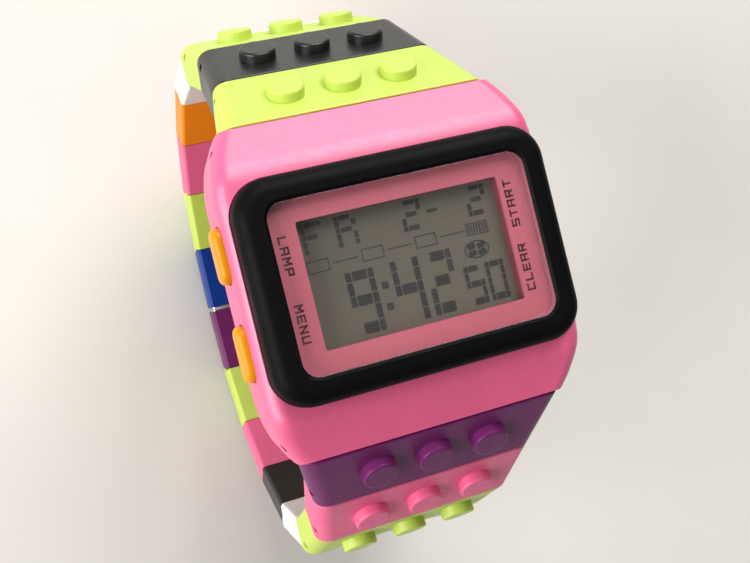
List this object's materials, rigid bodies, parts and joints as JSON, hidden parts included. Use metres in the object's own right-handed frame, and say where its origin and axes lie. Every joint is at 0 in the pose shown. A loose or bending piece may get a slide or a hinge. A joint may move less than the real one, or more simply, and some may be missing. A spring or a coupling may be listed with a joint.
{
  "type": "digital wristwatch with a block link bracelet",
  "caption": "Square-faced digital watch on a closed bracelet of studded plastic block links, with push buttons and a magnetic clasp.",
  "frame": {"origin": "middle of the base of the bounding box, under the dial, where the closed loop stands on its lowest studs", "axes": "+Z out of the dial, +Y towards 12 o'clock, +X towards 3 o'clock"},
  "size_m": [0.0406, 0.0724, 0.0656],
  "materials": {
    "pink_plastic": "satin moulded plastic",
    "lime_plastic": "satin moulded plastic",
    "black_plastic": "satin moulded plastic",
    "white_plastic": "satin moulded plastic",
    "orange_plastic": "satin moulded plastic",
    "blue_plastic": "satin moulded plastic",
    "purple_plastic": "satin moulded plastic",
    "pin_steel": "drawn steel wire",
    "plated_steel": "nickel plated",
    "magnet_nickel": "nickel plated magnet",
    "case_pink": "satin moulded plastic",
    "bezel_black": "glossy moulded plastic",
    "clear_acrylic": "clear acrylic, polished edges",
    "mask_print": "printed film, lettering in dark red",
    "lcd_glass": "display glass over a reflector",
    "white_diffuser": "white diffuser plastic",
    "zebra_rubber": "silicone rubber with carbon layers",
    "holder_plastic": "matt moulded plastic",
    "board_green": "glass fibre board with solder mask",
    "cell_steel": "steel can",
    "spring_steel": "spring steel strip",
    "sounder_brass": "brass disc",
    "gasket_rubber": "nitrile rubber",
    "back_steel": "brushed stainless steel",
    "screw_steel": "stainless steel",
    "button_orange": "glossy moulded plastic",
    "clip_steel": "spring steel clip"
  },
  "bodies": {
    "watch_head": {"case": "case_pink", "bezel": "bezel_black", "crystal": "clear_acrylic", "mask_frame": "mask_print", "display_glass": "lcd_glass", "reflector": "white_diffuser", "zebra_strips": "zebra_rubber", "module_holder": "holder_plastic", "circuit_board": "board_green", "coin_cell": "cell_steel", "battery_clip": "spring_steel", "sounder": "sounder_brass", "gasket": "gasket_rubber", "case_back": "back_steel", "case_back_screws": "screw_steel", "lug_pins": "pin_steel", "contact_springs": "spring_steel"},
    "upper_link_1": {"link_upper_1": "lime_plastic", "link_pin_upper_1": "pin_steel"},
    "upper_link_2": {"link_upper_2": "black_plastic", "link_pin_upper_2": "pin_steel"},
    "upper_link_3": {"link_upper_3": "lime_plastic", "link_pin_upper_3": "pin_steel"},
    "upper_link_4": {"link_upper_4": "white_plastic", "link_pin_upper_4": "pin_steel"},
    "upper_link_5": {"link_upper_5": "orange_plastic", "link_pin_upper_5": "pin_steel"},
    "upper_link_6": {"link_upper_6": "pink_plastic", "link_pin_upper_6": "pin_steel"},
    "upper_link_7": {"link_upper_7": "lime_plastic", "link_pin_upper_7": "pin_steel"},
    "upper_link_8": {"link_upper_8": "blue_plastic", "clasp_plate_upper": "plated_steel", "magnets_upper": "magnet_nickel"},
    "lower_link_1": {"link_lower_1": "purple_plastic", "link_pin_lower_1": "pin_steel"},
    "lower_link_2": {"link_lower_2": "pink_plastic", "link_pin_lower_2": "pin_steel"},
    "lower_link_3": {"link_lower_3": "lime_plastic", "link_pin_lower_3": "pin_steel"},
    "lower_link_4": {"link_lower_4": "white_plastic", "link_pin_lower_4": "pin_steel"},
    "lower_link_5": {"link_lower_5": "black_plastic", "link_pin_lower_5": "pin_steel"},
    "lower_link_6": {"link_lower_6": "pink_plastic", "link_pin_lower_6": "pin_steel"},
    "lower_link_7": {"link_lower_7": "lime_plastic", "link_pin_lower_7": "pin_steel"},
    "lower_link_8": {"link_lower_8": "purple_plastic", "clasp_plate_lower": "plated_steel", "magnets_lower": "magnet_nickel"},
    "left_lower_button": {"button_left_lower": "button_orange", "retainer_left_lower": "clip_steel"},
    "left_upper_button": {"button_left_upper": "button_orange", "retainer_left_upper": "clip_steel"},
    "right_lower_button": {"button_right_lower": "button_orange", "retainer_right_lower": "clip_steel"},
    "right_upper_button": {"button_right_upper": "button_orange", "retainer_right_upper": "clip_steel"}
  },
  "joints": [
    {"name": "upper_hinge_1", "type": "hinge", "parent": "watch_head", "child": "upper_link_1", "pos_m": [0, 0.0165, 0.05888], "axis": [1, 0, 0], "range_deg": [0, 19.59]},
    {"name": "upper_hinge_2", "type": "hinge", "parent": "upper_link_1", "child": "upper_link_2", "pos_m": [0, 0.0234, 0.05164], "axis": [1, 0, 0], "range_deg": [0, 5.8]},
    {"name": "upper_hinge_3", "type": "hinge", "parent": "upper_link_2", "child": "upper_link_3", "pos_m": [0, 0.02948, 0.04315], "axis": [1, 0, 0], "range_deg": [0, 15.7]},
    {"name": "upper_hinge_4", "type": "hinge", "parent": "upper_link_3", "child": "upper_link_4", "pos_m": [0, 0.03319, 0.03372], "axis": [1, 0, 0], "range_deg": [0, 25.5]},
    {"name": "upper_hinge_5", "type": "hinge", "parent": "upper_link_4", "child": "upper_link_5", "pos_m": [0, 0.03274, 0.02394], "axis": [1, 0, 0], "range_deg": [0, 25]},
    {"name": "upper_hinge_6", "type": "hinge", "parent": "upper_link_5", "child": "upper_link_6", "pos_m": [0, 0.02817, 0.01525], "axis": [1, 0, 0], "range_deg": [0, 16.5]},
    {"name": "upper_hinge_7", "type": "hinge", "parent": "upper_link_6", "child": "upper_link_7", "pos_m": [0, 0.02098, 0.00816], "axis": [1, 0, 0], "range_deg": [0, 20.5]},
    {"name": "upper_hinge_8", "type": "hinge", "parent": "upper_link_7", "child": "upper_link_8", "pos_m": [0, 0.01192, 0.00399], "axis": [1, 0, 0], "range_deg": [0, 17]},
    {"name": "lower_hinge_1", "type": "hinge", "parent": "watch_head", "child": "lower_link_1", "pos_m": [0, -0.0165, 0.05888], "axis": [-1, 0, 0], "range_deg": [0, 19.59]},
    {"name": "lower_hinge_2", "type": "hinge", "parent": "lower_link_1", "child": "lower_link_2", "pos_m": [0, -0.0234, 0.05164], "axis": [-1, 0, 0], "range_deg": [0, 5.8]},
    {"name": "lower_hinge_3", "type": "hinge", "parent": "lower_link_2", "child": "lower_link_3", "pos_m": [0, -0.02948, 0.04315], "axis": [-1, 0, 0], "range_deg": [0, 15.7]},
    {"name": "lower_hinge_4", "type": "hinge", "parent": "lower_link_3", "child": "lower_link_4", "pos_m": [0, -0.03319, 0.03372], "axis": [-1, 0, 0], "range_deg": [0, 25.5]},
    {"name": "lower_hinge_5", "type": "hinge", "parent": "lower_link_4", "child": "lower_link_5", "pos_m": [0, -0.03274, 0.02394], "axis": [-1, 0, 0], "range_deg": [0, 25]},
    {"name": "lower_hinge_6", "type": "hinge", "parent": "lower_link_5", "child": "lower_link_6", "pos_m": [0, -0.02817, 0.01525], "axis": [-1, 0, 0], "range_deg": [0, 16.5]},
    {"name": "lower_hinge_7", "type": "hinge", "parent": "lower_link_6", "child": "lower_link_7", "pos_m": [0, -0.02098, 0.00816], "axis": [-1, 0, 0], "range_deg": [0, 20.5]},
    {"name": "lower_hinge_8", "type": "hinge", "parent": "lower_link_7", "child": "lower_link_8", "pos_m": [0, -0.01192, 0.00399], "axis": [-1, 0, 0], "range_deg": [0, 17]},
    {"name": "left_lower_push", "type": "slide", "parent": "watch_head", "child": "left_lower_button", "axis": [1, 0, 0], "range_m": [0, 0.0006], "stiffness_N_per_m": 1200, "springref_m": -0.0004},
    {"name": "left_upper_push", "type": "slide", "parent": "watch_head", "child": "left_upper_button", "axis": [1, 0, 0], "range_m": [0, 0.0006], "stiffness_N_per_m": 1200, "springref_m": -0.0004},
    {"name": "right_lower_push", "type": "slide", "parent": "watch_head", "child": "right_lower_button", "axis": [-1, 0, 0], "range_m": [0, 0.0006], "stiffness_N_per_m": 1200, "springref_m": -0.0004},
    {"name": "right_upper_push", "type": "slide", "parent": "watch_head", "child": "right_upper_button", "axis": [-1, 0, 0], "range_m": [0, 0.0006], "stiffness_N_per_m": 1200, "springref_m": -0.0004}
  ]
}
